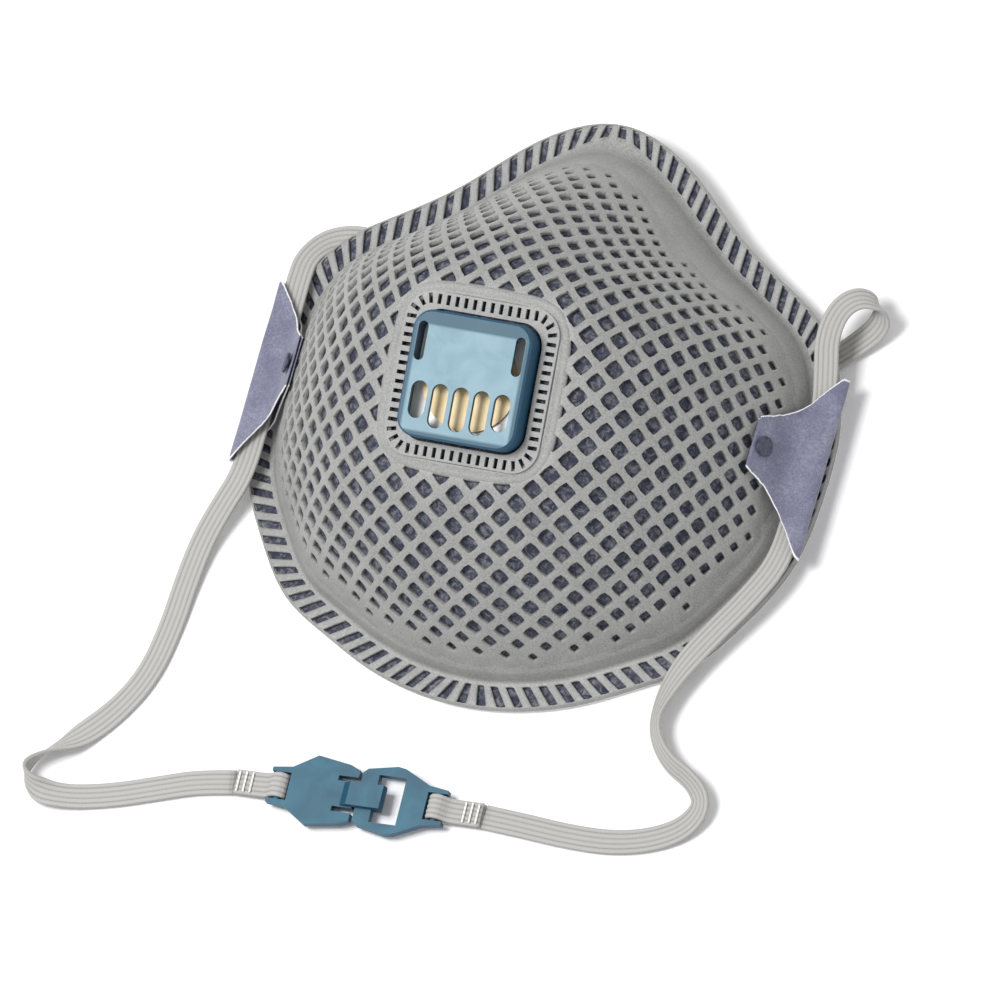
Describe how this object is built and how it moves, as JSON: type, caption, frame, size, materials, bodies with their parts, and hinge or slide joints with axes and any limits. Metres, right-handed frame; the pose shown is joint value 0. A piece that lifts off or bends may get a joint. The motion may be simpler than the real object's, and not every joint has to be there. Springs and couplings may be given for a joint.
{
  "type": "disposable dust mask",
  "caption": "Cup-shaped disposable dust mask with a moulded net shell, filter layers, square exhalation valve with hinged flap, and a ribbed elastic head strap with a hook clasp.",
  "frame": {"origin": "middle of the rim's box on the surface that the rim rests on", "axes": "+Z out of the face, +Y towards the nose, +X towards the wearer's left cheek; the mask lies rim down"},
  "size_m": [0.178, 0.1803, 0.061],
  "materials": {
    "net_plastic": "moulded, satin",
    "dark_web": "nonwoven",
    "filter_felt": "needled felt",
    "liner_web": "soft nonwoven",
    "white_plastic": "moulded",
    "blue_plastic": "translucent moulded",
    "sleeve_web": "nonwoven",
    "rivet_plastic": "welded",
    "elastic": "ribbed knitted elastic",
    "thread": "thread",
    "teal_plastic": "translucent moulded",
    "tan_rubber": "thin sheet"
  },
  "bodies": {
    "root": {"outer_mesh_shell": "net_plastic", "dark_cover_web": "dark_web", "filter_media": "filter_felt", "inner_liner": "liner_web", "valve_crimp_ring": "net_plastic", "valve_seat": "white_plastic", "valve_cover": "blue_plastic", "valve_retaining_ring": "white_plastic", "right_strap_sleeve": "sleeve_web", "left_strap_sleeve": "sleeve_web", "right_sleeve_rivet": "rivet_plastic", "left_sleeve_rivet": "rivet_plastic", "head_strap": "elastic", "left_strap_end_loop": "elastic", "right_strap_end_loop": "elastic", "left_strap_stitches": "thread", "right_strap_stitches": "thread", "clasp_catch": "teal_plastic"},
    "flap": {"valve_flap": "tan_rubber"},
    "hook": {"clasp_hook": "teal_plastic"}
  },
  "joints": [
    {"name": "valve_flap_hinge", "type": "hinge", "parent": "root", "child": "flap", "pos_m": [0, 0.00042, 0.05573], "axis": [-1, 0, 0], "range_deg": [0, 7.5]},
    {"name": "clasp_hook_hinge", "type": "hinge", "parent": "root", "child": "hook", "pos_m": [-0.038, -0.0963, 0.00245], "axis": [0.0349, -0.9994, 0], "range_deg": [0, 45]}
  ]
}
